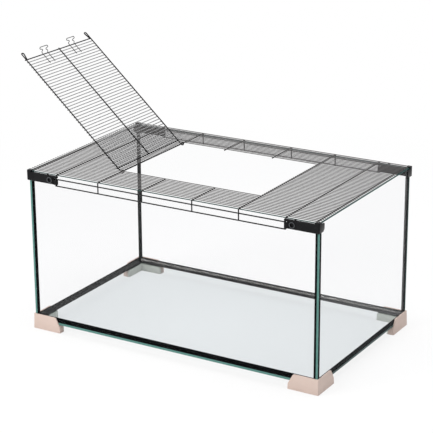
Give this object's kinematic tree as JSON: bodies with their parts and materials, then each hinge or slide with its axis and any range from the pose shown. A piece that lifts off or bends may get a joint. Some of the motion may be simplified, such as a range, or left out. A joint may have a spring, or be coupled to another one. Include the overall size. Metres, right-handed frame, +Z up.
{
  "type": "glass rodent cage",
  "caption": "Bonded glass tank on moulded corner feet, with a lift-off welded wire lid, a hinged wire door in the lid and swinging corner clips.",
  "frame": {"origin": "on the ground under the centre of the tank", "axes": "+X along the front, towards the right; +Y towards the back; +Z up"},
  "size_m": [0.8772, 0.4888, 0.6691],
  "materials": {
    "pane_glass": "clear float glass with ground edges",
    "silicone": "tooled black silicone, slightly glossy",
    "foot_plastic": "beige moulded plastic, fine satin",
    "fine_wire": "grey powder coat on welded wire",
    "frame_wire": "dark grey powder coat on steel wire",
    "door_bar": "light grey powder coat on steel wire",
    "spring_wire": "bare spring steel wire",
    "clip_plastic": "glossy black moulded plastic"
  },
  "bodies": {
    "tank": {"base_pane": "pane_glass", "front_pane": "pane_glass", "back_pane": "pane_glass", "left_pane": "pane_glass", "right_pane": "pane_glass", "base_seal_front": "silicone", "base_seal_back": "silicone", "base_seal_left": "silicone", "base_seal_right": "silicone", "corner_seal_front_left": "silicone", "corner_seal_front_right": "silicone", "corner_seal_back_left": "silicone", "corner_seal_back_right": "silicone", "foot_front_left": "foot_plastic", "foot_front_right": "foot_plastic", "foot_back_left": "foot_plastic", "foot_back_right": "foot_plastic"},
    "lid": {"lid_mesh_front": "fine_wire", "lid_mesh_back": "fine_wire", "lid_mesh_left": "fine_wire", "lid_mesh_right": "fine_wire", "frame_wire_left": "frame_wire", "hinge_wire": "frame_wire", "catch_wire": "frame_wire", "frame_wire_right": "frame_wire", "strip_wires_front": "frame_wire", "strip_wires_back": "frame_wire", "end_wire_left": "frame_wire", "end_wire_right": "frame_wire", "skirt_wires_front": "frame_wire", "skirt_wires_back": "frame_wire"},
    "door": {"door_side_wire_front": "frame_wire", "door_side_wire_back": "frame_wire", "door_middle_wire": "frame_wire", "door_hinge_bar": "door_bar", "door_end_bar": "door_bar", "door_mesh": "door_bar", "door_hook_front": "spring_wire", "door_hook_back": "spring_wire"},
    "clip_front_left": {"clip_front_left": "clip_plastic"},
    "clip_front_right": {"clip_front_right": "clip_plastic"},
    "clip_back_left": {"clip_back_left": "clip_plastic"},
    "clip_back_right": {"clip_back_right": "clip_plastic"}
  },
  "joints": [
    {"name": "lid_lift", "type": "slide", "parent": "tank", "child": "lid", "axis": [0, 0, 1], "range_m": [0, 0.1]},
    {"name": "door_hinge", "type": "hinge", "parent": "lid", "child": "door", "pos_m": [-0.1905, 0, 0.4098], "axis": [0, 1, 0], "range_deg": [0, 137.75]},
    {"name": "clip_hinge_front_left", "type": "hinge", "parent": "lid", "child": "clip_front_left", "pos_m": [-0.31, -0.2392, 0.3964], "axis": [0, 0, 1], "range_deg": [0, 90]},
    {"name": "clip_hinge_front_right", "type": "hinge", "parent": "lid", "child": "clip_front_right", "pos_m": [0.31, -0.2392, 0.3964], "axis": [0, 0, -1], "range_deg": [0, 90]},
    {"name": "clip_hinge_back_left", "type": "hinge", "parent": "lid", "child": "clip_back_left", "pos_m": [-0.31, 0.2392, 0.3964], "axis": [0, 0, -1], "range_deg": [0, 90]},
    {"name": "clip_hinge_back_right", "type": "hinge", "parent": "lid", "child": "clip_back_right", "pos_m": [0.31, 0.2392, 0.3964], "axis": [0, 0, 1], "range_deg": [0, 90]}
  ]
}
